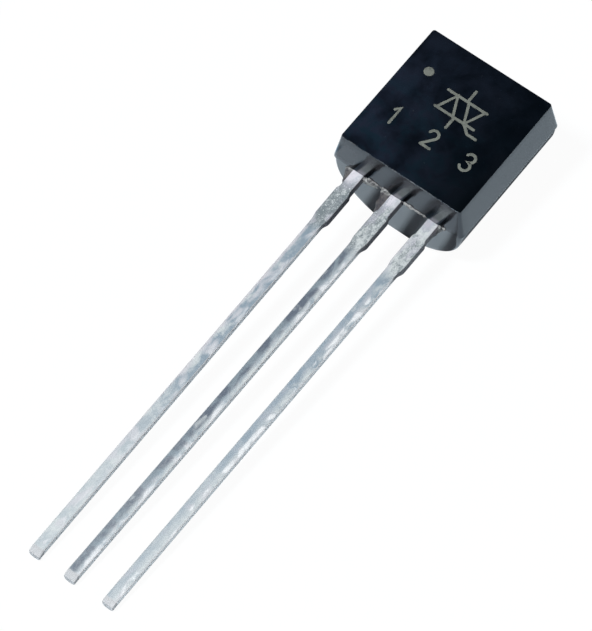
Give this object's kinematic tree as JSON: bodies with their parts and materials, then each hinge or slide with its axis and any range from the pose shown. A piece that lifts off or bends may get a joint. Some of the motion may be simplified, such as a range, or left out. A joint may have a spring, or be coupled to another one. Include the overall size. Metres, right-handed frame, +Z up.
{
  "type": "triac",
  "caption": "Small triac with a black half-round moulded body and straight tinned leads in a row, for through-hole boards; it switches an alternating current.",
  "frame": {"origin": "centre of the part's footprint on the surface it lies on", "axes": "+Z up, away from the surface; the flat face looks up, the leads run towards -Y and down to the surface, and +X runs across the leads from MT1 to MT2"},
  "size_m": [0.0046, 0.0192, 0.0039],
  "materials": {
    "epoxy": "satin",
    "tinned_frame": "satin",
    "silicon": "polished",
    "solder": "satin",
    "bond_wire": "satin"
  },
  "bodies": {
    "root": {"moulded_body": "epoxy", "mt1_lead": "tinned_frame", "gate_lead": "tinned_frame", "mt2_lead": "tinned_frame", "triac_chip": "silicon", "chip_solder": "solder", "mt1_wire": "bond_wire", "gate_wire": "bond_wire"}
  },
  "joints": []
}
